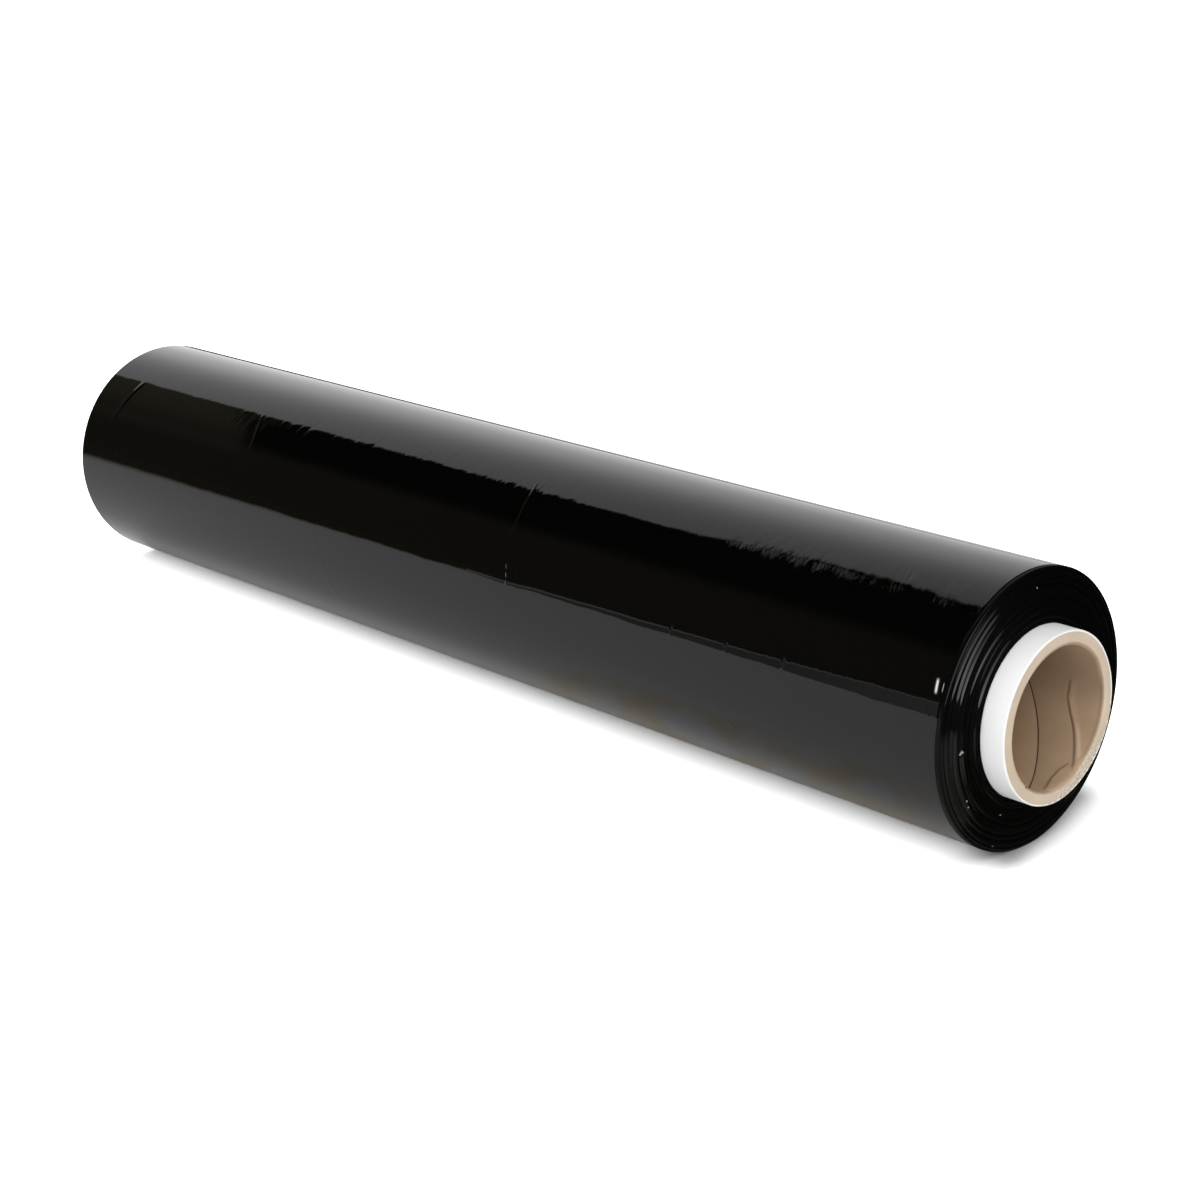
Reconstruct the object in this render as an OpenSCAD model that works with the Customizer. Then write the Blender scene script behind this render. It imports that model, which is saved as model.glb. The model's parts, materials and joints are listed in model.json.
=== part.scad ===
// A hand roll of black stretch film, wound on a white-covered board core and lying on its side.
// +X runs along the core and +Z is up. The origin is the middle of the flat spot that the
// winding lies on. Every turn is the same width of film, so a turn that sits to one side
// stands out of one end of the winding and sinks by the same amount into the other.

/* [Film] */
// Width of the film, which is the length of the winding
film_w = 500; // [300:5:600]
// Thickness of the winding, from the core out to its surface
film_t = 18.7; // [12:0.1:60]
// Width of the flat spot that the roll's own weight presses into the winding
flat_w = 12; // [8:0.5:20]

/* [Winding ends] */
// Number of ridges that the edges of the turns make across an end of the winding
ridge_count = 8; // [3:1:12]
// Height of the tallest ridge above its grooves
ridge_h = 0.6; // [0.2:0.1:1.2]
// How far a groove sits off an even spacing, as a share of a ridge's width
ridge_uneven = 0.25; // [0:0.05:0.4]
// How far the outer turns have crept towards the far end, past the turns on the core
creep = 1.5; // [0:0.1:4]
// Length along the roll of the rounded shoulder on the outer turns
shoulder_l = 0.8; // [0.8:0.1:6]
// Depth of that shoulder, measured in from the winding's surface
shoulder_t = 0.5; // [0.2:0.1:0.8]

/* [Core] */
// Bore of the core
bore_d = 50; // [38:1:60]
// Thickness of the board
board_t = 4; // [2:0.2:5]
// Thickness of the white paper wrapped round the board
cover_t = 0.8; // [0.6:0.1:1.2]
// Length of core that stands out of each end of the winding
core_out = 9.1; // [4:0.1:20]
// Bevel worn round each mouth of the bore
mouth_bevel = 0.8; // [0.2:0.1:1.5]
// Rounding of the white paper's outer edge at each end of the core
cover_round = 0.4; // [0.1:0.1:0.5]

/* [Hidden] */
$fn = 128;

// Radii from the bore outwards, and where the axis runs above the flat spot
bore_r = bore_d / 2;
board_r = bore_r + board_t;
core_r = board_r + cover_t;
film_r = core_r + film_t;
axis_h = sqrt(pow(film_r, 2) - pow(flat_w / 2, 2));
half_w = film_w / 2;
core_half = half_w + core_out;

// A shoulder is an arc that leaves the winding's surface tangentially
shoulder_arc = (pow(shoulder_l, 2) + pow(shoulder_t, 2)) / (2 * shoulder_t);
ridge_t = (film_t - shoulder_t) / ridge_count;

// Where a ridge's flat crest starts and ends, as shares of its width
crest = [0.3, 0.7];
// How many times the spacing of the grooves tightens and opens between core and shoulder
uneven_waves = 3;
// Share of the ridges' height that changes from ridge to ridge
height_change = 0.3;

function wave(i) = sin(360 * uneven_waves * i / ridge_count);
function groove_r(i) = core_r + ridge_t * (i + ridge_uneven * wave(i));
function groove_shift(i) = -creep * i / ridge_count;
function ridge_top(i) = ridge_h * (1 - height_change * abs(wave(i)));
function between(a, b, share) = a + (b - a) * share;

// Turns from the core outwards, as [radius, sideways shift of the turn]
turns = [
    for (i = [0:ridge_count - 1])
        for (step = [0, crest[0], crest[1]])
            [
                between(groove_r(i), groove_r(i + 1), step),
                between(groove_shift(i), groove_shift(i + 1), step) + (step > 0 ? ridge_top(i) : 0)
            ],
    [film_r - shoulder_t, -creep],
    [film_r, -creep]
];
last_turn = len(turns) - 1;

// The winding cut through its axis: one end of the turns going out, the other coming back
winding_outline = concat(
    [for (turn = turns) [turn[0], half_w + turn[1]]],
    [for (i = [last_turn:-1:0]) [turns[i][0], turns[i][1] - half_w]]
);

// Turns a half section, drawn as radius and place along the roll, about the roll's axis
module revolved() {
    translate([0, 0, axis_h])
        rotate([0, 90, 0])
            rotate_extrude()
                children();
}

// Everything inside the two rounded shoulders of the outer turns
module inside_shoulders() {
    beyond_ends = half_w + creep + ridge_h;
    translate([0, -beyond_ends])
        square([film_r - shoulder_t, 2 * beyond_ends]);
    translate([0, shoulder_l - half_w - creep])
        square([film_r, film_w - 2 * shoulder_l]);
    for (side = [-1, 1])
        translate([film_r - shoulder_arc, side * (half_w - shoulder_l) - creep])
            circle(shoulder_arc);
}

// What lies under the plane that the roll rests on
module below_floor() {
    translate([-film_w, -film_r, -film_r])
        cube([2 * film_w, 2 * film_r, film_r]);
}

module film_roll() {
    color("#0d0d0e")
        difference() {
            revolved()
                intersection() {
                    polygon(winding_outline);
                    inside_shoulders();
                }
            below_floor();
        }
}

module core_tube() {
    color("#cdb594")
        revolved()
            polygon([
                [bore_r, mouth_bevel - core_half],
                [bore_r + mouth_bevel, -core_half],
                [board_r, -core_half],
                [board_r, core_half],
                [bore_r + mouth_bevel, core_half],
                [bore_r, core_half - mouth_bevel]
            ]);
}

// The outer corner that rounding takes off the white paper at one end
module cover_corner() {
    translate([core_r - cover_round, core_half - cover_round])
        difference() {
            square(2 * cover_round);
            circle(cover_round);
        }
}

module core_cover() {
    color("#f1f1ee")
        revolved()
            difference() {
                translate([board_r, -core_half])
                    square([cover_t, 2 * core_half]);
                cover_corner();
                mirror([0, 1])
                    cover_corner();
            }
}

film_roll();
core_tube();
core_cover();
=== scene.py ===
import json
import math

import bpy
import numpy as np
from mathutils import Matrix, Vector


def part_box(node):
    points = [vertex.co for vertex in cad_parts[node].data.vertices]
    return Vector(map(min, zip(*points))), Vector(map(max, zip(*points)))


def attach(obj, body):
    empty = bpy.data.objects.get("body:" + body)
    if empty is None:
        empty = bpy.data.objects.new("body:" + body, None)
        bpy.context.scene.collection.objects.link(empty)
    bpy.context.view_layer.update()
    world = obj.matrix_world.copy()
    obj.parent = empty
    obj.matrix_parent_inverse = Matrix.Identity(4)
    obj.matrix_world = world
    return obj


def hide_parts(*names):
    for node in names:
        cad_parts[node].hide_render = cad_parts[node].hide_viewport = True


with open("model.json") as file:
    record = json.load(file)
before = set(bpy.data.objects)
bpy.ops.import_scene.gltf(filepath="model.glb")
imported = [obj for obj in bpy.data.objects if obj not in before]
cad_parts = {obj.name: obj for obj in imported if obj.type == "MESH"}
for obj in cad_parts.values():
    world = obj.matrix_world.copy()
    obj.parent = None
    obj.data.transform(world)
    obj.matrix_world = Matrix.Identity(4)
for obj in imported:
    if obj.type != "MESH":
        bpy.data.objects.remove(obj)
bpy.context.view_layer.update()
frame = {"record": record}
mm = 0.001

# Sizes that every piece shares, in metres; all but the film's width are read from the frame
filmTop, coverTop, boardTop = (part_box(node)[1] for node in ("film_roll", "core_cover", "core_tube"))
coreBore = next(m for m in frame["record"]["mounts"] if m["name"] == "core_bore")
axisHeight = coreBore["pos_m"][2]   # the roll's axis above the floor
filmRadius = filmTop[2] - axisHeight
coreRadius = coverTop[2] - axisHeight
boardRadius = boardTop[2] - axisHeight
boreRadius = coreBore["dims"]["r_mm"] * mm
coreHalf = coverTop[0]
filmHalf = 250.0 * mm               # half of the film's width


# Shader maths: a Wire holds one output socket, and the usual operators add Math nodes
class Wire:
    def __init__(self, tree, socket):
        self.tree = tree
        self.socket = socket

    def math(self, operation, *others):
        values = dict(enumerate((self, *others)))
        return build(self.tree, "ShaderNodeMath", {"operation": operation}, values)

    def __add__(self, other):
        return self.math("ADD", other)

    def __sub__(self, other):
        return self.math("SUBTRACT", other)

    def __rsub__(self, other):
        return build(self.tree, "ShaderNodeMath", {"operation": "SUBTRACT"}, {0: other, 1: self})

    def __mul__(self, other):
        return self.math("MULTIPLY", other)

    def __truediv__(self, other):
        return self.math("DIVIDE", other)

    __radd__ = __add__
    __rmul__ = __mul__

    # 0 below low, 1 above high, with a smooth S between
    def step(self, low, high):
        values = {"Value": self, "From Min": low, "From Max": high}
        return build(self.tree, "ShaderNodeMapRange", {"interpolation_type": "SMOOTHSTEP"}, values)

    # this wire is the share of second in the mix of two colours
    def blend(self, first, second):
        values = {"Factor": self, 6: first, 7: second}
        return build(self.tree, "ShaderNodeMix", {"data_type": "RGBA"}, values, 2)


# Makes any node: its settings come first, then the values or links of its sockets
def build(tree, kind, settings=None, values=None, output=0):
    made = tree.nodes.new(kind)
    for name, setting in (settings or {}).items():
        setattr(made, name, setting)
    for key, value in (values or {}).items():
        if isinstance(value, Wire):
            tree.links.new(value.socket, made.inputs[key])
        else:
            made.inputs[key].default_value = value
    return Wire(tree, made.outputs[output]) if made.outputs else made


# The three coordinates of a vector, as wires
def coordinates(tree, vector):
    parts = build(tree, "ShaderNodeSeparateXYZ", values={0: vector})
    return [Wire(tree, socket) for socket in parts.socket.node.outputs]


# Two wires: 1 for what the camera sees, and 1 for what a glossy surface shows
def rayKinds(tree):
    path = build(tree, "ShaderNodeLightPath").socket.node
    return [Wire(tree, path.outputs[kind]) for kind in ("Is Camera Ray", "Is Glossy Ray")]


# A new object in the scene
def addObject(name, data):
    added = bpy.data.objects.new(name, data)
    bpy.context.collection.objects.link(added)
    return added


# A new material that is made of nodes, and its node tree
def addMaterial(name):
    material = bpy.data.materials.new(name)
    material.use_nodes = True
    return material, material.node_tree


# A new material: its node tree, its shader, and the Object coordinates as a vector and three wires
def startMaterial(name, constants):
    material, tree = addMaterial(name)
    shader = tree.nodes["Principled BSDF"]
    for key, value in constants.items():
        shader.inputs[key].default_value = value
    place = build(tree, "ShaderNodeTexCoord", output=3)
    return material, tree, shader, place, coordinates(tree, place)


def plug(tree, shader, sockets):
    for key, wire in sockets.items():
        tree.links.new(wire.socket, shader.inputs[key])


# Noise at so many cells to the metre, with the coordinates stretched first
def noise(tree, place, scale, detail=2.0, stretch=(1, 1, 1)):
    stretched = build(tree, "ShaderNodeMapping", values={"Vector": place, "Scale": stretch})
    values = {"Vector": stretched, "Scale": scale, "Detail": detail}
    return build(tree, "ShaderNodeTexNoise", values=values)


# Noise along a line: its place is one wire, at so many cells to the unit
def lineNoise(tree, place, scale, detail=2.0, roughness=0.5):
    values = {"W": place * scale, "Scale": 1.0, "Detail": detail, "Roughness": roughness}
    return build(tree, "ShaderNodeTexNoise", {"noise_dimensions": "1D"}, values)


# Bump from a height in metres
def bump(tree, height):
    return build(tree, "ShaderNodeBump", values={"Height": height, "Distance": 1.0, "Strength": 1.0})


# A colour made darker or lighter by a share
def shadeOf(tree, colour, share):
    return build(tree, "ShaderNodeVectorMath", {"operation": "SCALE"}, {0: colour, "Scale": share})


# A field that was stored on the mesh, as a wire
def storedField(tree, name):
    return build(tree, "ShaderNodeAttribute", {"attribute_name": name}, output=2)


# Distance from the roll's axis, as a wire
def axisDistance(y, z):
    lifted = z - axisHeight
    return (y * y + lifted * lifted).math("SQRT")


# Degrees round the axis, from 0 to 360, with the jump at the back of the roll
def frontAngle(y, z):
    return (axisHeight - z).math("ARCTAN2", y * -1.0) * math.degrees(1) + 180.0


# Degrees round the axis, from -180 to 180, with the jump at the front of the roll
def backAngle(y, z):
    return (z - axisHeight).math("ARCTAN2", y) * math.degrees(1)


# A bell of height 1 in a wire: exp(-(distance / width)^2)
def wireBell(distance, width):
    scaled = distance / width
    return (scaled * scaled * -1.0).math("EXPONENT")


# 1 between low and high, falling to 0 over the fade on both sides
def wireBetween(wire, low, high, fade):
    return wire.step(low - fade, low) * (1.0 - wire.step(high, high + fade))


# The same S as a wire's step, for arrays
def smooth(low, high, value):
    t = np.clip((value - low) / (high - low), 0, 1)
    return t * t * (3 - 2 * t)


# 1 between low and high, rising from riseFrom and falling until fallTo
def between(value, riseFrom, low, high, fallTo):
    return smooth(riseFrom, low, value) * (1 - smooth(high, fallTo, value))


# The angle brought to the half turn on each side of 0, in degrees
def signedAngle(angle):
    return (angle + 180) % 360 - 180


# A bell of height 1: exp(-(distance / width)^2)
def bell(distance, width):
    return np.exp(-(distance / width) ** 2)


# The sum of waves, each as (height, count round the roll, radians to the unit of place)
def waveSum(place, angle, waves):
    return sum(high * np.sin(np.radians(count * angle) + lean * place) for high, count, lean in waves)


# Joins a grid of points into quads: rows follow the section, columns go round the axis, and both
# directions close on themselves. Points are (rows, columns, 3) arrays in metres. The faces turn
# outwards, where the enclosed volume comes out positive.
def gridPiece(name, points, materials, faceSlots=None):
    rows, columns = points.shape[:2]
    row, column = np.meshgrid(np.arange(rows), np.arange(columns), indexing="ij")
    nextRow, nextColumn = (row + 1) % rows, (column + 1) % columns
    corners = [row * columns + column, row * columns + nextColumn,
               nextRow * columns + nextColumn, nextRow * columns + column]
    faces = np.stack(corners, -1).reshape(-1, 4)
    flat = points.reshape(-1, 3)
    first, second, third, fourth = (flat[faces[:, i]] for i in range(4))
    volume = np.sum(first * np.cross(second, third)) + np.sum(first * np.cross(third, fourth))
    if volume < 0:
        faces = faces[:, ::-1]
    mesh = bpy.data.meshes.new(name)
    mesh.vertices.add(rows * columns)
    mesh.vertices.foreach_set("co", flat.reshape(-1).astype(np.float32))
    mesh.loops.add(faces.size)
    mesh.loops.foreach_set("vertex_index", faces.reshape(-1).astype(np.int32))
    mesh.polygons.add(len(faces))
    mesh.polygons.foreach_set("loop_start", np.arange(0, faces.size, 4, dtype=np.int32))
    mesh.polygons.foreach_set("use_smooth", np.ones(len(faces), dtype=bool))
    for material in materials:
        mesh.materials.append(material)
    if faceSlots is not None:
        perFace = np.repeat(faceSlots, columns).astype(np.int32)
        mesh.polygons.foreach_set("material_index", perFace)
    mesh.update(calc_edges=True)
    mesh.validate()
    return addObject(name, mesh)


# A float for each point of a mesh, stored as an attribute that its material reads
def storeField(piece, name, field):
    attribute = piece.data.attributes.new(name, "FLOAT", "POINT")
    attribute.data.foreach_set("value", field.reshape(-1).astype(np.float32))


# Angles of evenly spaced columns, and the x and radius of a section's rows at every column
def evenAngles(columns):
    return (np.arange(columns) * 360 / columns)[None, :]


def acrossColumns(rows, angle):
    return [rows[:, i][:, None] + 0 * angle for i in (0, 1)]


# Places grid points at (x, radius) in the direction of each angle, 0 at +Y and 90 at +Z
def aroundAxis(x, radius, angle):
    radians = np.radians(angle)
    return np.stack([x, radius * np.cos(radians), axisHeight + radius * np.sin(radians)], -1)


# The camera stands at the photograph's viewing angle
photoView = {
    "place": (663.7 * mm, -593.5 * mm, 263.1 * mm + axisHeight),
    "heading": 46.24,           # degrees to the left of +Y
    "downTilt": 17.59,          # degrees below level
    "lens": 69.38,
    "sensor": 36.0,
}


def makeCamera(view):
    data = bpy.data.cameras.new("photoCamera")
    data.lens = view["lens"]
    data.sensor_width = view["sensor"]
    data.clip_start = 0.01
    data.clip_end = 100
    camera = addObject("photoCamera", data)
    camera.location = view["place"]
    camera.rotation_euler = (math.radians(90 - view["downTilt"]), 0, math.radians(view["heading"]))
    bpy.context.scene.camera = camera


makeCamera(photoView)
print("camera placed")


# The studio: a white sheet behind and overhead, a dark room in front, and a softbox beyond the
# near end. Matt surfaces see an even dome instead of the sheet and the room. Each pair is a range
# over which something changes: of a direction's X for the names that end in Along, of its height
# in the plane across the roll for those in Rise, and of its Z for the foot and head of the lights.
studio = {
    "whiteFrom": 93.0,          # degrees up from the back, in the plane across the roll
    "whiteEdge": 1.2,           # degrees over which the sheet ends
    "whiteNear": 9.0,           # how many degrees lower its edge is for the near end
    "nearBlur": 1.5,            # and how many more degrees it ends over there
    "nearAlong": (-0.68, -0.61),
    "easeAlong": (-0.61, -0.57),
    "easeShare": 0.4,           # how much of that is taken back at the very end of the roll
    "whiteLow": 1.36,           # brightness of the sheet near the ground
    "whiteHigh": 0.80,          # and overhead
    "highRise": (0.6, 1.05),
    "nearDimming": 0.22,        # how much dimmer the sheet is for the near end of the roll
    "dimAlong": (-0.85, -0.5),
    "stopAlong": (-0.45, -0.15),
    "stopShare": 0.97,          # how dark the sheet is past the near end
    "roomLow": 0.055,           # brightness of the room near the ground
    "roomHigh": 0.0,            # and higher up
    "roomRise": (0.66, 0.82),
    "roomTint": (1.0, 0.88, 0.62, 1),
    "farGrey": 0.12,            # a paler part of the room that only the far end shows
    "farAlong": (-0.801, -0.797),
    "farRise": (0.5, 1.0),
    "dome": 0.74,               # even light on matt surfaces
    "frontLight": 1.6,          # a broad soft light in front, for matt surfaces
    "frontTurn": (-125, -35, 12),   # degrees from +X towards +Y: from, to and fade
    "softbox": 5.0,             # a softbox beyond the near end, for glossy ones
    "softboxTurn": (-60, 6, 8),
    "lightFoot": (0.10, 0.13),
    "lightHead": (0.78, 0.93),
}


def makeWorld(light):
    world = bpy.data.worlds.new("studio")
    world.use_nodes = True
    bpy.context.scene.world = world
    tree = world.node_tree
    background = tree.nodes["Background"]
    x, y, z = coordinates(tree, build(tree, "ShaderNodeTexCoord"))
    rise = z / (y * y + z * z + 0.0001).math("SQRT")
    behind = z.math("ARCTAN2", y) * math.degrees(1)
    eased = 1.0 - x.step(*light["easeAlong"]) * light["easeShare"]
    nearEdge = x.step(*light["nearAlong"]) * eased
    over = behind - light["whiteFrom"] + nearEdge * light["whiteNear"]
    blur = nearEdge * light["nearBlur"] + light["whiteEdge"]
    notBelowFront = y.math("MAXIMUM", z).step(0.0, 0.01)
    isWhite = (1.0 - over.step(blur * -1.0, blur)) * notBelowFront
    change = rise.step(*light["highRise"]) * (light["whiteHigh"] - light["whiteLow"])
    nearer = 1.0 - x.step(*light["dimAlong"]) * light["nearDimming"]
    stopped = 1.0 - x.step(*light["stopAlong"]) * light["stopShare"]
    sheet = (change + light["whiteLow"]) * nearer * stopped
    room = rise.step(*light["roomRise"]) * (light["roomHigh"] - light["roomLow"])
    isFar = 1.0 - x.step(*light["farAlong"])
    room = room + isFar * rise.step(*light["farRise"]) * light["farGrey"]
    pattern = isWhite * sheet + (1.0 - isWhite) * (room + light["roomLow"])
    turned = y.math("ARCTAN2", x) * math.degrees(1)
    upright = z.step(*light["lightFoot"]) * (1.0 - z.step(*light["lightHead"]))
    softbox = wireBetween(turned, *light["softboxTurn"]) * upright
    front = wireBetween(turned, *light["frontTurn"]) * upright
    byEye, byGloss = rayKinds(tree)
    inGloss = pattern + softbox * light["softbox"]
    onMatt = front * light["frontLight"] + light["dome"]
    strength = byEye + byGloss * inGloss + (1.0 - byEye - byGloss) * onMatt
    inRoom = byGloss * (1.0 - isWhite) * (1.0 - softbox)
    tint = inRoom.blend((1, 1, 1, 1), light["roomTint"])
    plug(tree, background, {"Strength": strength, "Color": tint})


# A shadow of the near end, painted onto the floor: where it lies in metres, and how it fades in mm
paintedEndShadow = {
    "along": (0.231, 0.248),    # where it starts along the roll
    "lean": 0.6,                # and how much sooner further back
    "behind": (0.046, 0.070),   # where it ends behind the roll
    "edge": 0.246,              # the line that the end stands over
    "edgeLean": 0.27,
    "front": 0.008,             # how far in front of the axis the contact reaches
    "frontShare": 0.62,
    "fades": ((1.0, 11.0), (4.0, 24.0)),    # from and to, half of the shadow each
    "deepest": 0.24,            # how lit the floor still is in it
}


# How lit the floor is beside the near end, as a painted shadow: 1 - depth * (what both fades leave),
# at the distance sqrt(past^2 + before^2) past the end's line and before the contact
def paintedLightBesideEnd(x, y, shadow):
    start = x + y.math("MAXIMUM", 0.0) * shadow["lean"]
    roundEnd = start.step(*shadow["along"]) * (1.0 - y.step(*shadow["behind"]))
    past = ((x + y * shadow["edgeLean"] - shadow["edge"]) / mm).math("MAXIMUM", 0.0)
    before = ((y * -1.0 - shadow["front"]) / mm * shadow["frontShare"]).math("MAXIMUM", 0.0)
    away = (past * past + before * before).math("SQRT")
    shaded = 1.0
    for fade in shadow["fades"]:
        shaded = shaded - away.step(*fade) * 0.5
    return 1.0 - roundEnd * shaded * (1.0 - shadow["deepest"])


# The floor is plain and pale. What the film shows of it ends where the white sheet ends.
floorSheet = {
    "reach": 9,                 # metres from the middle to each side
    "white": 0.9,
    "lift": 0.08,               # a little light of its own, for the camera alone
    "eyeGain": 1.2,             # it is shown this much brighter, and its shadow tighter
    "inFilm": 0.82,             # how bright it is in the film
    "pastSheet": 0.065,         # and past the sheet's end
    "underRoll": 0.18,          # how much brighter where it runs under the roll
    "underFrom": (-0.05, -0.024),
    "underTo": (0.0, 0.03),
    "brown": (1.0, 0.89, 0.73, 1),      # patches that look brown in the film
    "brownAlong": (0.06, 0.19, 0.06),
    "brownAcross": (-0.054, 0.0, 0.012),
    "brownCells": 30,
    "brownCut": (0.42, 0.62),
    "sheetEnd": (-0.582, -0.280, 0.9285, 0.3714),   # a point on the sheet's end and its normal
    "sheetEdge": 0.02,          # metres over which it ends
    "sheetBlur": 0.11,          # and how many more near the roll
    "blurFrom": (-0.9, -0.28),
    "sheetSide": (0.39, 0.43),
    "cornerAlong": (0.24, 0.27),
    "cornerAcross": (-0.08, -0.03),
}


# 1 where the white sheet covers the floor: it has a slanting end, a side and a corner
def onWhiteSheet(x, y, ground):
    endX, endY, acrossX, acrossY = ground["sheetEnd"]
    inside = (x - endX) * acrossX + (y - endY) * acrossY
    blur = y.step(*ground["blurFrom"]) * ground["sheetBlur"] + ground["sheetEdge"]
    beforeSide = 1.0 - x.step(*ground["sheetSide"])
    inCorner = x.step(*ground["cornerAlong"]) * y.step(*ground["cornerAcross"])
    return inside.step(blur * -1.0, blur) * beforeSide * (1.0 - inCorner)


def makeFloor(ground, shadow, roomTint):
    reach = ground["reach"]
    corners = [(-reach, -reach, 0), (reach, -reach, 0), (reach, reach, 0), (-reach, reach, 0)]
    mesh = bpy.data.meshes.new("floor")
    mesh.from_pydata(corners, [], [(0, 1, 2, 3)])
    floor = addObject("floor", mesh)
    material, tree = addMaterial("floorSheet")
    place = build(tree, "ShaderNodeTexCoord", output=3)
    x, y, z = coordinates(tree, place)
    byEye, byGloss = rayKinds(tree)
    onSheet = onWhiteSheet(x, y, ground)
    under = y.step(*ground["underFrom"]) * (1.0 - y.step(*ground["underTo"]))
    sheetShare = under * ground["underRoll"] + (ground["inFilm"] - ground["pastSheet"])
    glossShare = onSheet * sheetShare + ground["pastSheet"]
    # the painted shadow beside the near end dims what the camera sees of the floor
    lit = paintedLightBesideEnd(x, y, shadow)
    gain = 1.0 + byEye * (lit * (1.0 + ground["eyeGain"]) - 1.0) + byGloss * (glossShare - 1.0)
    cloud = noise(tree, place, ground["brownCells"], 3.0).step(*ground["brownCut"])
    patch = wireBetween(x, *ground["brownAlong"]) * wireBetween(y, *ground["brownAcross"])
    tint = (patch * cloud * byGloss).blend((1, 1, 1, 1), ground["brown"])
    tint = (byGloss * (1.0 - onSheet)).blend(tint, roomTint)
    colour = shadeOf(tree, tint, gain * ground["white"])
    matt = build(tree, "ShaderNodeBsdfDiffuse", values={"Color": colour})
    glow = build(tree, "ShaderNodeEmission", values={"Strength": byEye * lit * ground["lift"]})
    both = build(tree, "ShaderNodeAddShader", values={0: matt, 1: glow})
    plug(tree, tree.nodes["Material Output"], {"Surface": both})
    mesh.materials.append(material)


# A grey board that stands along the end of the white sheet and shows in the film's lower half:
# where it stands along Y, how high it is there, and how bright; its upper edge is a lighter line
backboard = {
    "along": (-0.52, -0.615, -0.741, -0.875, -1.02),
    "high": (0.002, 0.030, 0.076, 0.172, 0.275),
    "bright": (0.14, 0.18, 0.20, 0.30, 0.33),
    "rim": 0.014,
    "rimBright": 0.52,
}


def makeBackboard(panel, sheetEnd):
    endX, endY, acrossX, acrossY = sheetEnd
    rimBright = panel["rimBright"]
    points = []
    glow = []
    for y, high, bright in zip(panel["along"], panel["high"], panel["bright"]):
        x = endX - (y - endY) * acrossY / acrossX
        points += [(x, y, z) for z in (0, high, high, high + panel["rim"])]
        glow += [bright, bright, rimBright, rimBright]
    faces = []
    for i in range(len(panel["along"]) - 1):
        for low in (0, 2):
            a = 4 * i + low
            faces.append((a, a + 4, a + 5, a + 1))
    mesh = bpy.data.meshes.new("backboard")
    mesh.from_pydata(points, [], faces)
    standing = addObject("backboard", mesh)
    storeField(standing, "glow", np.array(glow))
    material, tree = addMaterial("backboardGrey")
    shown = build(tree, "ShaderNodeEmission", values={"Strength": storedField(tree, "glow")})
    plug(tree, tree.nodes["Material Output"], {"Surface": shown})
    mesh.materials.append(material)
    standing.visible_camera = False
    standing.visible_diffuse = False
    standing.visible_shadow = False


makeWorld(studio)
makeFloor(floorSheet, paintedEndShadow, studio["roomTint"])
makeBackboard(backboard, floorSheet["sheetEnd"])
print("studio lit")


# Black stretch film on the winding's surface. A crease, scratch or painted glint runs round the
# roll between two points, each given as (place along the roll in mm, degrees round it). Each row
# says start, end, bend, width and height, these in mm; for scratches and painted glints a height
# of 1000 is the full effect.
filmSkin = {
    "colour": (0.0009, 0.0009, 0.0008, 1),
    "roughness": 0.035,
    "scratchRoughness": 0.45,
    "ripple": 0.003 * mm,       # height of the fine ripple in the film
    "rippleCells": 260,         # to the metre
    "turnLean": 0.00012,        # metres that the pattern of the turns drifts along, to the degree
    "upperEdge": 125.0,         # degrees round the roll where its sheen ends
    "lowerEdge": 171.0,         # and where the floor's reflection starts
    # how the turns tilt from one place along the roll to the next, which makes those edges uneven
    "tilts": [
        {"edge": "upperEdge", "seed": 0.0, "cells": 55, "detail": 4.0, "slope": 0.030, "spread": 6.0},
        {"edge": "upperEdge", "seed": 3.0, "cells": 420, "detail": 3.0, "slope": 0.009, "spread": 3.0},
        {"edge": "lowerEdge", "seed": 7.0, "cells": 40, "detail": 5.0, "slope": 0.030, "spread": 6.0},
    ],
    # where along the roll the edges of the turns make coarser teeth
    "teeth": {"along": (-0.140, 0.055, 0.02), "seed": 5.0, "cells": 210, "slope": 0.09,
              "spread": 3.0, "patchCells": 30, "patchCut": (0.2, 0.6)},
    # and where they are drawn out to fine hairs, in tufts, with soft smears among them
    "hairs": {"along": (0.150, 0.240, 0.02), "above": 2.5, "spread": 5.0,
              "cells": 900, "lean": 0.0003, "slope": 0.055,
              "tuftCells": 150, "tuftCut": (0.4, 0.65),
              "smearCells": 260, "smearSlope": 0.075},
    "creases": [
        ((-226, 124), (-234, 158), 0.0, 1.1, 0.13),
        ((-136, 124), (-129, 146), 1.0, 0.6, 0.07),
        ((36, 119), (40, 160), 1.0, 0.5, 0.075),
        ((-76, 174), (-68, 214), 1.0, 1.2, 0.03),
        ((147, 189), (159, 206), -1.0, 1.2, 0.035),
        ((129, 165), (129, 171.5), 0.0, 0.5, 0.05),
        ((155, 165), (155, 171), 0.0, 0.5, 0.05),
        ((181, 164), (181, 170), 0.0, 0.5, 0.05),
        ((242.2, 163), (245.2, 215), 0.0, 0.35, 0.03),
    ],
    "creaseFade": 0.15,         # share of its length over which a crease fades at each end
    "scratches": [
        ((-13.0, 108), (-15.5, 124), 0.2, 0.25, 1000),
        ((-27.0, 118), (-29.5, 125), 0.2, 0.25, 1000),
        ((41.5, 114), (39, 127), 0.2, 0.25, 1000),
        ((150, 110), (148, 125), 0.3, 0.25, 700),
        ((192, 112), (189, 126), 0.3, 0.25, 700),
    ],
    # glints painted into the film's colour next to the near rim
    "glints": [
        ((243.2, 154.4), (243.8, 161.2), 0.0, 0.4, 1000),
        ((245.85, 155.6), (246.05, 159.8), 0.0, 0.12, 550),
    ],
    "glintFade": 0.3,
    "glintColour": (0.70, 0.70, 0.70, 1),
    # a crease that is broken up into beads
    "beads": ((41, 159), (43, 173), 0.4, 0.3, 0.2),
    "beadEvery": 3.6,           # degrees
}


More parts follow.
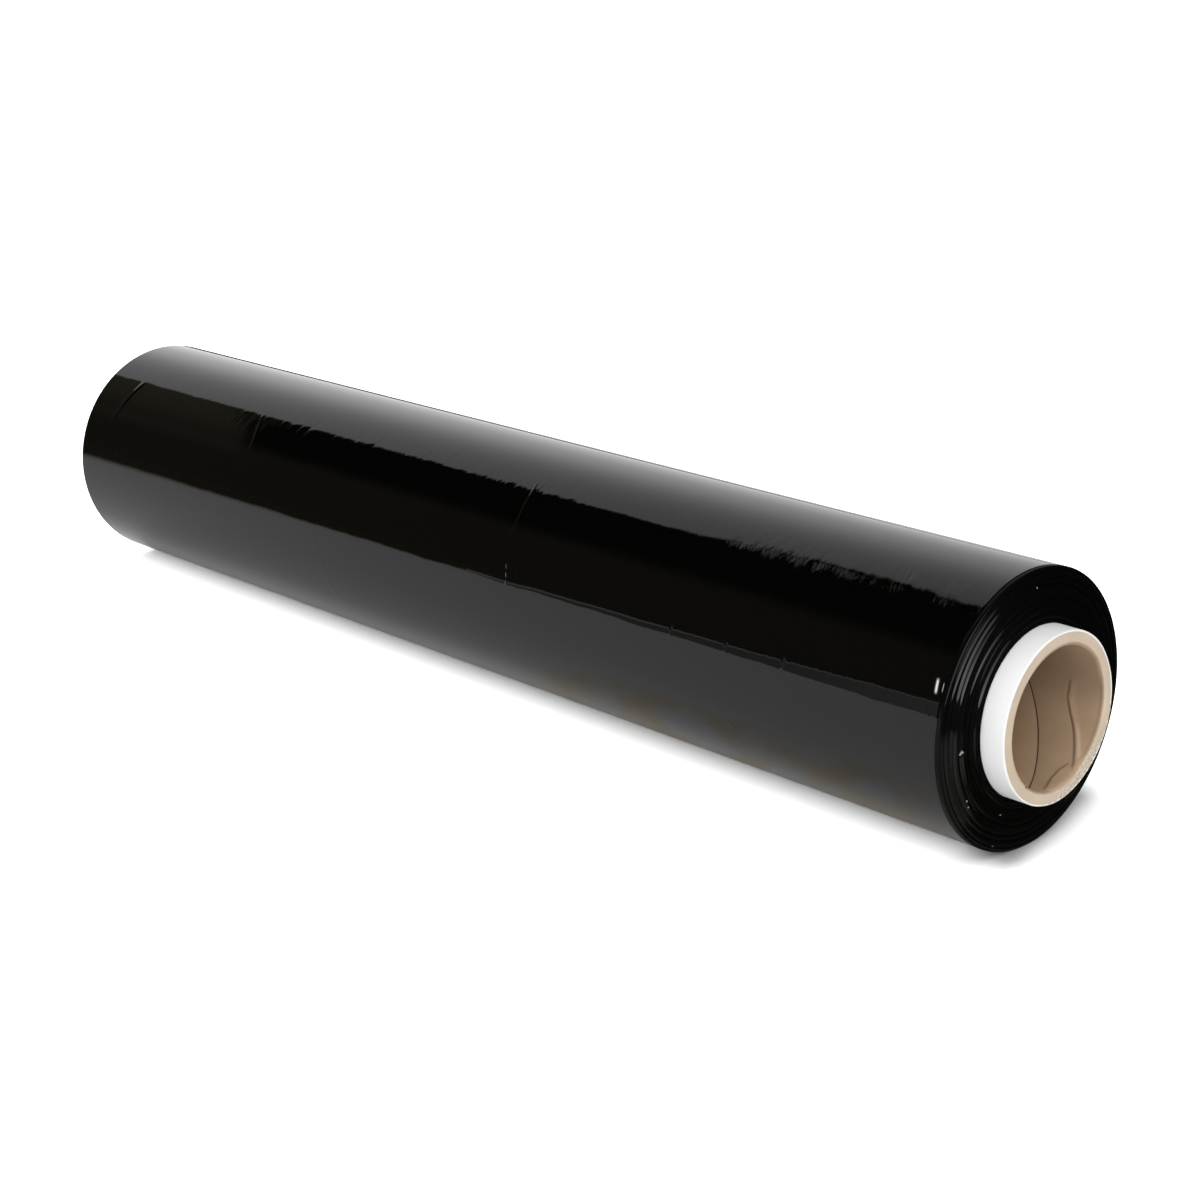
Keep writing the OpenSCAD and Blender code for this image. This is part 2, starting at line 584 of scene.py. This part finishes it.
# Height in metres of one crease: a bell across it, fading at both ends. Between its two ends it
# bows sideways by bend mm.
def creaseHeight(x, angle, crease, fade):
    (startX, startAngle), (endX, endAngle), bend, wide, high = crease
    along = (angle - startAngle) / (endAngle - startAngle)
    middle = along * ((endX - startX) * mm) + startX * mm
    bow = along * (1.0 - along) * (4 * bend * mm)
    faded = along.step(0.0, fade) * (1.0 - along.step(1.0 - fade, 1.0))
    return wireBell(x - middle - bow, wide * mm) * faded * (high * mm)


# The sum of the heights of several creases
def creaseHeights(x, angle, creases, fade):
    return sum((creaseHeight(x, angle, crease, fade) for crease in creases), 0.0)


# Height in metres of a tilt that changes along the roll, in a strip round one angle:
# tilt * u * exp(-(u / spread)^2), where u is the distance round the roll from that angle
def tiltHeight(tilt, angle, middle, spread):
    around = (angle - middle) * (math.radians(1) * filmRadius)
    return tilt * around * wireBell(around, spread * mm)


def makeFilmSkin(skin):
    material, tree, shader, place, (x, y, z) = startMaterial("stretchFilm", {"IOR": 1.5})
    angle = frontAngle(y, z)
    height = noise(tree, place, skin["rippleCells"], 2.0, (1, 0.6, 0.6)) * skin["ripple"]
    leaning = x + angle * skin["turnLean"]
    for lay in skin["tilts"]:
        tilt = lineNoise(tree, leaning + lay["seed"], lay["cells"], lay["detail"], 0.6) - 0.5
        middle = skin[lay["edge"]]
        height = height + tiltHeight(tilt * lay["slope"], angle, middle, lay["spread"])
    teeth = skin["teeth"]
    tooth = lineNoise(tree, leaning + teeth["seed"], teeth["cells"]) - 0.5
    uneven = lineNoise(tree, x, teeth["patchCells"]).step(*teeth["patchCut"])
    tooth = tooth * uneven * wireBetween(x, *teeth["along"]) * teeth["slope"]
    height = height + tiltHeight(tooth, angle, skin["upperEdge"], teeth["spread"])
    hairs = skin["hairs"]
    inHairs = wireBetween(x, *hairs["along"])
    tuft = noise(tree, place, hairs["tuftCells"], 3.0, (1, 0.4, 0.4)).step(*hairs["tuftCut"])
    hair = lineNoise(tree, x - angle * hairs["lean"], hairs["cells"], 3.0, 0.7) - 0.5
    smear = noise(tree, place, hairs["smearCells"], 4.0, (1, 0.35, 0.35)) - 0.5
    drawn = (hair * tuft * hairs["slope"] + smear * hairs["smearSlope"]) * inHairs
    middle = skin["upperEdge"] - hairs["above"]
    height = height + tiltHeight(drawn, angle, middle, hairs["spread"])
    height = height + creaseHeights(x, angle, skin["creases"], skin["creaseFade"])
    beading = (angle * (2 * math.pi / skin["beadEvery"])).math("SINE") * 0.5 + 0.5
    height = height + creaseHeight(x, angle, skin["beads"], skin["creaseFade"]) * beading
    scratched = creaseHeights(x, angle, skin["scratches"], skin["creaseFade"])
    rough = scratched * (skin["scratchRoughness"] - skin["roughness"]) + skin["roughness"]
    # glints painted as a pale colour on the film
    paintedGlint = creaseHeights(x, angle, skin["glints"], skin["glintFade"]).math("MINIMUM", 1.0)
    colour = paintedGlint.blend(skin["colour"], skin["glintColour"])
    plug(tree, shader, {"Base Color": colour, "Roughness": rough, "Normal": bump(tree, height)})
    return material


# A lifted bit of edge on the near end: two low sides and a head, with highlights painted on an arch
# over the head and along the sides. Radii and widths are in mm, angles in degrees.
liftedBit = {
    "sides": (38.4, 39.9),
    "sideWide": 0.35,
    "sideHigh": 0.55 * mm,
    "sideAngles": (186, 189, 199, 206),
    "head": (39.2, 186),
    "headWide": (0.8, 1.6),
    "headHigh": 0.6 * mm,
    "arch": (39.2, 187.0, 0.95),    # the middle and radius of the highlight painted as an arch on its head
    "archWide": 0.32,
    "paleAngles": (190, 203, 4),    # where highlights are painted along the sides
    "paleWide": 0.14,
    "paleShare": 0.06,
}

# The edges of the turns, seen on the ends of the winding. Cut film is matt except on the slopes
# of the ridges, where the flank field lets its gloss through.
filmEdges = {
    "colour": (0.0012, 0.0012, 0.0011, 1),
    "paleColour": (0.42, 0.42, 0.40, 1),    # of dust, of the sheen painted on the lower outer turns and of the highlights painted on the lifted bit
    "roughness": 0.5,
    "coatRoughness": 0.08,
    "coatTint": (0.95, 0.92, 1.0, 1),
    "grooves": 1500,            # to the metre, from the core outwards
    "grooveHeight": 0.035 * mm,
    "dust": [(41.0, 212, 0.35), (41.5, 215.5, 0.3), (35.8, 243, 0.3), (42.7, 93, 0.3),
             (46.4, 247, 0.25)],    # radius, angle and size
    "nick": (41.2, 211, 0.3),
    "nickHeight": 0.3 * mm,
    "haze": 0.021,              # a faint sheen painted on the lower outer turns
    "hazeTurns": (39.0 * mm, 47.6 * mm, 1.2 * mm),
    "hazeAngle": (182, 216, 10),
    "hazeCells": 650,
    "hazeCut": (0.36, 0.5),
}


# In the plane of an end, the distance from a spot at a radius (mm) and an angle, and the height
# above that spot
def fromSpot(y, z, outward, around):
    offY = y - outward * mm * math.cos(math.radians(around))
    offZ = z - (axisHeight + outward * mm * math.sin(math.radians(around)))
    return (offY * offY + offZ * offZ).math("SQRT"), offZ


def makeFilmEdges(edges, bit):
    constants = {"Roughness": edges["roughness"], "IOR": 1.5, "Specular IOR Level": 0.02,
                 "Coat Roughness": edges["coatRoughness"], "Coat IOR": 1.5,
                 "Coat Tint": edges["coatTint"]}
    material, tree, shader, place, (x, y, z) = startMaterial("filmEdges", constants)
    radius = axisDistance(y, z)
    angle = frontAngle(y, z)
    nearOnly = x.step(0.24, 0.245)
    pale = 0.0
    for outward, around, wide in edges["dust"]:
        apart = fromSpot(y, z, outward, around)[0]
        pale = pale + (1.0 - apart.step(0.5 * wide * mm, 1.2 * wide * mm))
    # highlights painted on the lifted bit: an arch over its head and lines along its sides
    outward, around, wide = bit["arch"]
    apart, above = fromSpot(y, z, outward, around)
    arch = wireBell(apart - wide * mm, bit["archWide"] * mm) * above.step(0.0, 0.7 * mm)
    pale = pale.math("MAXIMUM", arch * 1.5)
    sides = sum((wireBell(radius - side * mm, bit["paleWide"] * mm) for side in bit["sides"]), 0.0)
    sides = sides * wireBetween(angle, *bit["paleAngles"])
    pale = pale.math("MAXIMUM", sides * bit["paleShare"])
    # a sheen painted on the lower outer turns, broken into lines
    haze = wireBetween(radius, *edges["hazeTurns"]) * wireBetween(angle, *edges["hazeAngle"])
    lines = lineNoise(tree, radius, edges["hazeCells"], 1.0).step(*edges["hazeCut"])
    pale = pale.math("MAXIMUM", haze * lines * edges["haze"]) * nearOnly
    colour = pale.math("MINIMUM", 1.0).blend(edges["colour"], edges["paleColour"])
    fine = lineNoise(tree, radius + x * 0.1, edges["grooves"], 3.0, 0.6)
    outward, around, wide = edges["nick"]
    apart = fromSpot(y, z, outward, around)[0]
    nick = wireBell(apart, wide * mm) * nearOnly
    height = fine * edges["grooveHeight"] + nick * edges["nickHeight"]
    gloss = storedField(tree, "flank").math("MAXIMUM", nick * 1.5).math("MINIMUM", 1.0)
    plug(tree, shader, {"Base Color": colour, "Coat Weight": gloss, "Normal": bump(tree, height)})
    return material


# The winding: the film's turns as one closed surface. The grooves between its ridges are listed
# from the core outwards, in mm from the axis, and the rim groove as (place along the roll, depth).
winding = {
    "closeAngles": (90.0, 262.0),   # degrees between which the columns stand a degree apart
    "wideColumns": 72,          # how many columns the rest has
    "nearRows": 130,
    "farRows": 60,
    "shoulderRows": 15,
    "bodyRows": 100,
    "coreRows": 6,
    "grooves": (29.5, 31.13, 33.41, 36.48, 38.52, 42.5, 44.38, 46.94, 48.4),
    "heights": (0.45, 0.95, 0.5, 0.95, 1.05, 1.0, 0.9, 0.5),
    "ridgeHeight": 0.65 * mm,
    "heightChange": 0.12,       # how much a ridge's height changes round the roll
    "turnHeight": 0.05,         # and how uneven the turns make it
    "drift": ((0.28, 1, 0.5), (0.16, 3, -0.9)),     # waves that shift the ridges, in mm
    "ridgeRise": 0.32,          # share of its width over which a ridge rises
    "ridgeFall": 0.95,          # mm over which it falls to its outer groove
    "rimGroove": ((247.2, 0.0), (246.95, 0.10), (246.65, 0.22), (246.45, 0.12)),
    "bodyFrom": 246.2 * mm,
    "creep": 1.5 * mm,
    "shoulderLength": 0.8 * mm,
    "shoulderDepth": 0.5 * mm,
    "clearance": 0.02 * mm,
    "glossyFrom": (0.45, 0.95),     # slope of a ridge's side over which its gloss sets in
    "flankGloss": 0.6,
    "litAngles": (112, 152, 215, 245),  # where round the roll that gloss is seen
    "unlitShare": 0.15,
}

# Which part of the winding a row of its section belongs to
onBody, onNearEnd, onNearShoulder, onFarShoulder, onFarEnd, onCore = range(6)


# Angles of the columns: a degree apart where the photograph looks, wider apart elsewhere
def windingAngles(roll):
    low, high = roll["closeAngles"]
    wide = np.linspace(high, low + 360, roll["wideColumns"] + 1)[:-1]
    return np.concatenate([np.arange(low, high, 1.0), wide])


# How far the edge of a turn stands out at a radius (mm) and an angle. Across each ridge the
# height rises over the first third and falls over its last part; both shift slowly round the
# roll, each ridge has its own height, and the turns add a fine unevenness.
def ridgeShape(radius, angle, roll):
    radians, grooves = np.radians(angle), roll["grooves"]
    shifted = np.clip(radius + waveSum(radius, angle, roll["drift"]), grooves[0], grooves[-1])
    count = np.interp(shifted, grooves, np.arange(len(grooves)))
    ridge = np.clip(np.floor(count), 0, len(roll["heights"]) - 1).astype(int)
    across = count - ridge
    width = np.diff(grooves)[ridge]
    shape = smooth(0, roll["ridgeRise"], across) * smooth(0, roll["ridgeFall"], (1 - across) * width)
    change = roll["heightChange"] * np.sin(2 * radians + 1.7 * ridge)
    turns = np.sin(8.2 * shifted + 0.6 * np.sin(radians)) * np.sin(2.3 * shifted + 2 * radians)
    return shape * (np.array(roll["heights"])[ridge] + change) + roll["turnHeight"] * turns


# Height in metres of the lifted bit of edge: two ridges between two angles, and a mound
def liftedShape(radius, angle, bit):
    acrossSides = sum(bell(radius - side, bit["sideWide"]) for side in bit["sides"])
    alongSides = between(angle, *bit["sideAngles"])
    (headRadius, headAngle), (wide, wideAngle) = bit["head"], bit["headWide"]
    head = bell(radius - headRadius, wide) * bell(angle - headAngle, wideAngle)
    return acrossSides * alongSides * bit["sideHigh"] + head * bit["headHigh"]


# The section as rows of (x, radius, which part, share across the end): near end outwards, near
# shoulder, body, far shoulder, far end inwards, then back along the core. The further out a turn
# is, the further it has crept towards the far end. A shoulder is an arc that leaves the surface
# tangentially and drops shoulderDepth over shoulderLength.
def windingRows(roll):
    inner = coreRadius + roll["clearance"]
    outer = filmRadius - roll["shoulderDepth"]

    def endRow(middle, share, part):
        return middle - roll["creep"] * share, inner + (outer - inner) * share, part, share

    length, depth = roll["shoulderLength"], roll["shoulderDepth"]
    arc = (length ** 2 + depth ** 2) / (2 * depth)
    lean = np.linspace(math.asin(length / arc), 0, roll["shoulderRows"] + 1)[1:]
    arcX, arcRadius = arc * np.sin(lean), filmRadius - arc + arc * np.cos(lean)
    nearX, farX = filmHalf - roll["creep"] - length, length - filmHalf - roll["creep"]
    nearEnd = [endRow(filmHalf, share, onNearEnd) for share in np.linspace(0, 1, roll["nearRows"])]
    nearShoulder = [(nearX + a, r, onNearShoulder, 1) for a, r in zip(arcX, arcRadius)]
    rim = [(x * mm, filmRadius - deep * mm, onNearShoulder, 1) for x, deep in roll["rimGroove"]]
    start = roll["bodyFrom"]
    bodyX = [start, *np.linspace(start - 0.3 * mm, farX + 0.3 * mm, roll["bodyRows"])]
    body = [(x, filmRadius, onBody, 0) for x in bodyX]
    farShoulder = [(farX - a, r, onFarShoulder, 1) for a, r in zip(arcX[::-2], arcRadius[::-2])]
    farEnd = [endRow(-filmHalf, share, onFarEnd) for share in np.linspace(1, 0, roll["farRows"])]
    coreX = np.linspace(-filmHalf, filmHalf, roll["coreRows"] + 2)[1:-1]
    back = [(x, inner, onCore, 0) for x in coreX]
    return np.array(nearEnd + nearShoulder + rim + body + farShoulder + farEnd + back)


# How much gloss the sides of the ridges show, from 0 to 1: full on their steep parts and half on
# the shoulders, seen between two angles, in streaks
def flankField(x, radius, angle, part, roll):
    slope = np.abs(np.gradient(x, axis=0)) / (np.abs(np.gradient(radius, axis=0)) + 1e-9)
    isEnd = (part == onNearEnd) | (part == onFarEnd)
    isShoulder = (part == onNearShoulder) | (part == onFarShoulder)
    flank = smooth(*roll["glossyFrom"], slope) * isEnd + 0.5 * isShoulder
    turned = angle % 360
    seen = roll["unlitShare"] + (1 - roll["unlitShare"]) * between(turned, *roll["litAngles"])
    streaks = np.sin(radius / mm * 5.1 + 0.05 * turned) * np.sin(radius / mm * 2.3 - 0.08 * turned)
    return np.clip(flank, 0, 1) * seen * (0.7 + 0.3 * streaks) * roll["flankGloss"]


def makeWinding(roll, bit, materials):
    rows = windingRows(roll)
    angle = windingAngles(roll)[None, :]
    part = rows[:, 2].astype(int)[:, None]
    share = rows[:, 3][:, None]
    x, radius = acrossColumns(rows, angle)
    onEnds = smooth(0, 0.03, share) * smooth(0, 0.05, 1 - share)
    ridges = ridgeShape(radius / mm, angle, roll) * roll["ridgeHeight"]
    lifted = liftedShape(radius / mm, angle % 360, bit)
    x = x + (part == onNearEnd) * onEnds * (ridges + lifted) - (part == onFarEnd) * onEnds * ridges
    points = aroundAxis(x, radius, angle)
    points[..., 2] = np.maximum(points[..., 2], 0)      # the flat spot that the roll lies on
    edgeRows = (rows[:, 2] > onBody) & (rows[:, 2] < onCore)
    edgeFaces = edgeRows & np.roll(edgeRows, -1)
    piece = gridPiece("filmWinding", points, materials, edgeFaces.astype(int))
    storeField(piece, "flank", flankField(x, radius, angle, part, roll))
    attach(piece, "root")
    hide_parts("film_roll")
    return piece


makeWinding(winding, liftedBit, [makeFilmSkin(filmSkin), makeFilmEdges(filmEdges, liftedBit)])
print("winding made")


# Plain wound board: a spiral seam in its bore, a crease and a loose leaf near the mouth, and a
# rim that handling has rounded and roughened on one side. Angles run from -180 to 180 degrees,
# places along the roll and sizes are in mm.
board = {
    "colour": (0.62, 0.51, 0.39, 1),
    "insideColour": (0.44, 0.31, 0.20, 1),
    "wornColour": (0.55, 0.45, 0.35, 1),
    "fuzzColour": (0.72, 0.64, 0.56, 1),
    "foldColour": (0.60, 0.48, 0.37, 1),
    # the seam's own dark colour, also used for the painted shade in the bore
    "seamColour": (0.10, 0.06, 0.035, 1),
    "columns": 320,
    "clearance": 0.03,
    "offCentre": 0.25,          # how far the mouth is worn towards its soft side
    "crispMouth": 0.5,          # radius of the mouth's rounding
    "softMouth": 1.3,           # and how much more on its soft side
    "softAngles": (-75, -50, 25, 50),
    "farMouth": 0.8,
    "lipAt": 2.2,               # from the end of the core to where the mouth's rounding starts
    "reliefFrom": (200, 225),   # where the bore's unevenness sets in
    "waves": ((0.10, 3, 0.05), (0.06, 7, -0.11)),
    "wornAngles": (-100, -80, -40, -20),
    "seamAt": 229.7,            # where the seam crosses -5 degrees
    "seamPitch": 85.0,          # along the roll to the turn
    "seamWide": (0.12, 0.42),
    "seamDepth": 0.25,
    "beyondSeam": 0.2,          # how much paler the bore is for a stretch beyond the seam
    "upperBand": (40, 120, 35),     # degrees between which shade is painted on the bore, and the fade
    "upperShade": 0.06,
    "sideBell": (12, 22),       # and where more shade is painted on its side
    "sideShade": 0.24,
    # the angles and places that the crease runs through, and the edge of the leaf
    "creasePath": ((-62, -41, -29, -17, -5, 7), (257.2, 252.7, 250.0, 246.7, 244.5, 245.3)),
    "leafPath": ((-97, -95, -77, -65, -55), (258.5, 256.2, 253.1, 252.7, 254.5)),
    "creaseAngles": (-66, -58, 4, 11),
    "creaseDeep": 0.45,
    "creaseDark": (-66, -50, 4, 11),
    "leafAngles": (-98, -92, -60, -54),
    "leafHigh": 0.6,
    "foldFrom": 2.2,            # from the crease to the highlight painted on the fold beside it
    "foldAngles": (-54, -46, -30, -20),
    "foldShare": 0.5,
    "shadowShare": 0.6,
    "wornFrom": 257.9,          # where the worn mouth starts
    "mouthDark": (-54, -40, 8, 24),
    "mottleCells": 90,
    "mottle": 0.3,
    "fuzzCells": 1100,
    "fuzzCut": (0.44, 0.62),
    "fibreCells": 900,
    "fibreHigh": 0.03,
    "roughCells": 2200,
    "roughHigh": 0.25,
}


# Radius (mm) of the bore near the mouth, added to its own: the crease is a narrow groove with a
# raised lip on the side of the mouth, the loose leaf stands in from the wall, and two waves and
# the wear of the mouth run round it
def boreRelief(x, angle, tube):
    fromCrease = x - np.interp(angle, *tube["creasePath"])
    creased = tube["creaseDeep"] * (bell(fromCrease, 0.45) - bell(fromCrease - 1.3, 1.3))
    raised = tube["leafHigh"] * smooth(0, 0.7, x - np.interp(angle, *tube["leafPath"]))
    wave = waveSum(x, angle, tube["waves"])
    wear = tube["offCentre"] * (np.cos(np.radians(angle + 50)) - 1)
    onCrease = between(angle, *tube["creaseAngles"])
    onLeaf = between(angle, *tube["leafAngles"])
    return onCrease * creased - onLeaf * raised + wave + wear


# Painted shade: dark lines along the crease, under the edge of the loose leaf and where the worn
# mouth starts: three bells, from 0 to 1
def boreShadow(x, angle, tube):
    onCrease = between(angle, *tube["creaseDark"]) * (1 - 0.7 * smooth(-15, -2, angle))
    crease = onCrease * bell(x - np.interp(angle, *tube["creasePath"]), 0.55)
    leaf = between(angle, *tube["leafAngles"]) * bell(x - np.interp(angle, *tube["leafPath"]), 0.6) * 0.7
    mouth = between(angle, *tube["mouthDark"]) * bell(x - tube["wornFrom"], 0.5) * 0.7
    return np.maximum(np.maximum(crease, leaf), mouth)


# A highlight painted on the fold beside the crease, on the side of the mouth: a bell, from 0 to 1
def paintedFoldHighlight(x, angle, tube):
    fromFold = x - np.interp(angle, *tube["creasePath"]) - tube["foldFrom"]
    return between(angle, *tube["foldAngles"]) * bell(fromFold, 0.6)


def makeBoardMaterial(tube):
    material, tree, shader, place, (x, y, z) = startMaterial("woundBoard", {"Roughness": 0.85})
    angle = backAngle(y, z)
    radius = axisDistance(y, z)
    inside = 1.0 - radius.step(boreRadius + 0.2 * mm, boreRadius + 0.9 * mm)
    turned = (x - tube["seamAt"] * mm) / (tube["seamPitch"] * mm) + (angle + 5.0) / 360.0
    offSeam = ((turned + 0.5).math("FRACT") - 0.5) * tube["seamPitch"]
    seam = (1.0 - offSeam.math("ABSOLUTE").step(*tube["seamWide"])) * inside
    paler = offSeam.step(-30.0, -4.0) * (1.0 - offSeam.step(-0.3, 0.3)) * tube["beyondSeam"]
    middle, wide = tube["sideBell"]
    # shade painted on the upper part and on one side of the bore
    paintedDarker = wireBetween(angle, *tube["upperBand"]) * tube["upperShade"]
    paintedDarker = paintedDarker + wireBell(angle - middle, wide) * tube["sideShade"]
    mottle = (noise(tree, place, tube["mottleCells"], 3.0) - 0.5) * tube["mottle"] + 1.0
    shade = mottle * (1.0 - paintedDarker * inside) * (1.0 + paler * inside)
    colour = inside.blend(tube["colour"], tube["insideColour"])
    worn = storedField(tree, "worn")
    fuzz = noise(tree, place, tube["fuzzCells"], 3.0).step(*tube["fuzzCut"]) * worn
    colour = fuzz.blend(worn.blend(colour, tube["wornColour"]), tube["fuzzColour"])
    colour = seam.blend(colour, tube["seamColour"])
    # the highlight painted on the fold beside the crease
    colour = (storedField(tree, "fold") * tube["foldShare"]).blend(colour, tube["foldColour"])
    # shade painted along the crease, the leaf's edge and the worn mouth
    colour = (storedField(tree, "shadow") * tube["shadowShare"]).blend(colour, tube["seamColour"])
    fibre = noise(tree, place, tube["fibreCells"], 4.0) * (tube["fibreHigh"] * mm)
    rough = noise(tree, place, tube["roughCells"], 3.0) * worn * (tube["roughHigh"] * mm)
    height = fibre + rough - seam * (tube["seamDepth"] * mm)
    shown = shadeOf(tree, colour, shade)
    plug(tree, shader, {"Base Color": shown, "Normal": bump(tree, height)})
    return material


# The section as rows of (x, radius) in mm: the bore towards the near mouth, round it on an arc
# whose size depends on the angle, the near rim, back along the outside, the far rim and mouth
def boardRows(tube, signed):
    half, bore = coreHalf / mm, boreRadius / mm
    outer = boardRadius / mm - tube["clearance"]
    soft = tube["crispMouth"] + tube["softMouth"] * between(signed, *tube["softAngles"])
    lipX = half - tube["lipAt"]
    deep = np.concatenate([np.linspace(-half + 3, 216, 60), np.linspace(216, lipX, 92)[1:]])
    rows = []
    for x in deep:
        relief = boreRelief(x, signed, tube) * smooth(*tube["reliefFrom"], x)
        rows.append((x, bore + relief))
    lip = bore + boreRelief(lipX, signed, tube)
    for lean in np.radians(np.linspace(0, 90, 9)):
        across, along = math.sin(lean), math.cos(lean)
        start = lip * (1 - across) + bore * across
        rows.append((half - soft * (1 - across), start + soft * (1 - along)))
    for share in np.linspace(0, 1, 8)[1:]:
        rows.append((half, (bore + soft) * (1 - share) + (outer - 0.15) * share))
    rows += [(half - 0.04, outer - 0.04), (half - 0.15, outer)]
    rows += [(x, outer) for x in np.linspace(half - 1, 1 - half, 8)]
    rows += [(0.15 - half, outer), (0.04 - half, outer - 0.04)]
    farMouth = tube["farMouth"]
    for share in np.linspace(1, 0, 5):
        rows.append((-half, (bore + farMouth) * (1 - share) + (outer - 0.15) * share))
    for lean in np.radians(np.linspace(90, 0, 6)[1:]):
        rows.append((-half + farMouth * (1 - math.sin(lean)), bore + farMouth * (1 - math.cos(lean))))
    return [np.concatenate([np.broadcast_to(row[i], signed.shape) for row in rows]) for i in (0, 1)]


# How worn the near rim is, from 0 to 1: on one side of the mouth, from the bore outwards
def wornField(x, radius, signed, tube):
    half, bore = coreHalf / mm, boreRadius / mm
    worn = between(signed, *tube["wornAngles"]) * smooth(half - 2.0, half - 0.5, x)
    worn = worn * smooth(bore - 0.2, bore + 1.4, radius)
    return np.clip(worn, 0, 1) * (x > 0)


def makeBoard(tube, material):
    angle = evenAngles(tube["columns"])
    signed = signedAngle(angle)
    x, radius = boardRows(tube, signed)
    worn = wornField(x, radius, signed, tube)
    radians = np.radians(angle)
    frayed = np.sin(41 * radians + 3 * radius) * np.sin(67 * radians - 5 * radius)
    outer = boardRadius / mm - tube["clearance"]
    insideEdge = 1 - smooth(outer - 0.4, outer - 0.1, radius)
    x = x - worn * (0.18 + 0.16 * frayed) * insideEdge
    points = aroundAxis(x * mm, radius * mm, angle)
    piece = gridPiece("coreBoard", points, [material])
    storeField(piece, "worn", worn)
    inBore = (radius < boreRadius / mm + 0.8) & (x > 200) & (x < coreHalf / mm - 0.5)
    storeField(piece, "shadow", boreShadow(x, signed, tube) * inBore)
    storeField(piece, "fold", paintedFoldHighlight(x, signed, tube) * inBore)
    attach(piece, "root")
    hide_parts("core_tube")
    return piece


makeBoard(board, makeBoardMaterial(board))
print("board core made")


# White paper round the board
paper = {
    "colour": (0.83, 0.83, 0.835, 1),
    "deepColour": (0.96, 0.96, 0.965, 1),   # painted lighter towards the film, against the shade that the film's end casts
    # the rim painted lighter and cream, a painted highlight along its rounding
    "edgeColour": (0.94, 0.93, 0.90, 1),
    "wornEdge": (0.62, 0.54, 0.45, 1),
    "wornAngles": (-95, -8, 12),    # degrees: from, to and fade
    "columns": 256,
    "round": 0.4 * mm,
    "clearance": 0.02 * mm,
    "innerRound": 0.06 * mm,
    "waves": ((0.08, 5, 180), (0.05, 11, -320)),    # heights in mm, places in metres
    "waveMost": 0.08,
    "fibreCells": 700,
    "fibreHigh": 0.01 * mm,
    "wornCells": 900,
    "wornCut": (0.38, 0.55),
}


def makePaperMaterial(cover):
    constants = {"Roughness": 0.5, "Specular IOR Level": 0.3}
    material, tree, shader, place, (x, y, z) = startMaterial("whitePaper", constants)
    edge = x.step(coreHalf - 0.5 * mm, coreHalf - 0.1 * mm)
    # lighter towards the film: light painted against the shade of the film's end
    deep = 1.0 - x.math("ABSOLUTE").step(filmHalf - 1 * mm, coreHalf)
    colour = deep.blend(cover["colour"], cover["deepColour"])
    # a highlight painted along the rim's rounding
    colour = edge.blend(colour, cover["edgeColour"])
    worn = wireBetween(backAngle(y, z), *cover["wornAngles"]) * edge
    worn = worn * noise(tree, place, cover["wornCells"], 3.0).step(*cover["wornCut"])
    colour = worn.blend(colour, cover["wornEdge"])
    fibre = noise(tree, place, cover["fibreCells"], 3.0) * cover["fibreHigh"]
    plug(tree, shader, {"Base Color": colour, "Normal": bump(tree, fibre)})
    return material


# The section as rows of (x, radius): far rounding, outside, near rounding, then back inside
def paperRows(cover):
    rounding, innerRound = cover["round"], cover["innerRound"]
    inner = boardRadius + cover["clearance"]
    near = []
    for lean in np.radians(np.linspace(0, 90, 7)):
        along, outward = rounding * math.sin(lean), rounding * math.cos(lean)
        near.append((coreHalf - rounding + along, coreRadius - rounding + outward))
    far = [(-x, radius) for x, radius in near[::-1]]
    sideX = np.linspace(rounding - coreHalf, coreHalf - rounding, 80)[1:-1]
    side = [(x, coreRadius) for x in sideX]
    nearLip = [(coreHalf, inner + innerRound), (coreHalf - innerRound, inner)]
    farLip = [(-x, radius) for x, radius in nearLip[::-1]]
    inside = [(x, inner) for x in np.linspace(coreHalf, -coreHalf, 9)[1:-1]]
    return np.array(far + side + near + nearLip + inside + farLip)


# The paper's own wave, in metres: it only pulls the outside in, where the core stands out
def paperWave(x, radius, angle, cover):
    wave = waveSum(x, angle, cover["waves"])
    outside = smooth(boardRadius + 0.3 * mm, coreRadius, radius)
    standingOut = smooth(filmHalf, filmHalf + 2 * mm, np.abs(x))
    return outside * standingOut * np.minimum(wave - cover["waveMost"], 0) * mm


def makePaper(cover, material):
    rows = paperRows(cover)
    angle = evenAngles(cover["columns"])
    x, radius = acrossColumns(rows, angle)
    points = aroundAxis(x, radius + paperWave(x, radius, angle, cover), angle)
    piece = gridPiece("coreCover", points, [material])
    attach(piece, "root")
    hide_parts("core_cover")
    return piece


makePaper(paper, makePaperMaterial(paper))
print("white cover made")

bpy.context.scene.view_settings.view_transform = "Standard"
